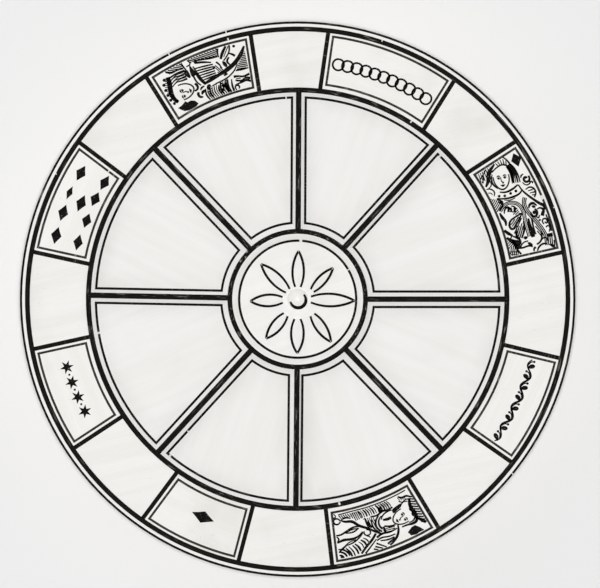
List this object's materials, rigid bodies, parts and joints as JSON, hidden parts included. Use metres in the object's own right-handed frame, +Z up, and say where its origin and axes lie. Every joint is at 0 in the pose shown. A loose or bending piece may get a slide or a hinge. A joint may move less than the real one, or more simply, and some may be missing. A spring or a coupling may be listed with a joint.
{
  "type": "pope joan board",
  "caption": "Round revolving games tray with open wells between radial partitions, a labelled rim, a carved hub and a turned stand on which the tray spins.",
  "frame": {"origin": "middle of the underside of the baize pad, on the table", "axes": "+Z up along the spindle; +X along the first partition, towards the right of the picture"},
  "size_m": [0.2795, 0.2794, 0.0699],
  "materials": {
    "holly": "satin",
    "label": "satin",
    "ebony": "satin",
    "bone": "polished",
    "brass": "satin",
    "steel": "brushed",
    "baize": "felted"
  },
  "bodies": {
    "stand": {"baize_pad": "baize", "foot": "holly", "foot_screw": "steel", "pillar": "holly", "spindle": "steel", "thrust_washer": "brass", "pivot_button": "bone"},
    "tray": {"boss": "holly", "boss_screws": "brass", "pivot_bush": "brass", "floor_board": "holly", "floor_screws": "brass", "rim_board": "holly", "outer_hoop": "ebony", "inner_hoop": "ebony", "hub_hoop": "ebony", "edge_moulding": "holly", "edge_bead": "ebony", "hub_disc": "holly", "hub_line": "ebony", "rosette": "holly", "well_lines": "ebony", "label_lines": "ebony", "label_dividers": "ebony", "partition_1": "ebony", "partition_2": "ebony", "partition_3": "ebony", "partition_4": "ebony", "partition_5": "ebony", "partition_6": "ebony", "partition_7": "ebony", "partition_8": "ebony", "lining_1": "holly", "lining_2": "holly", "lining_3": "holly", "lining_4": "holly", "lining_5": "holly", "lining_6": "holly", "lining_7": "holly", "lining_8": "holly", "fillet_1": "holly", "fillet_2": "holly", "fillet_3": "holly", "fillet_4": "holly", "fillet_5": "holly", "fillet_6": "holly", "fillet_7": "holly", "fillet_8": "holly", "label_queen": "label", "label_matrimony": "label", "label_king": "label", "label_pope": "label", "label_game": "label", "label_ace": "label", "label_knave": "label", "label_intrigue": "label"}
  },
  "joints": [
    {"name": "tray_turn", "type": "hinge", "parent": "stand", "child": "tray", "pos_m": [0, 0, 0.0387], "axis": [0, 0, 1], "continuous": true}
  ]
}
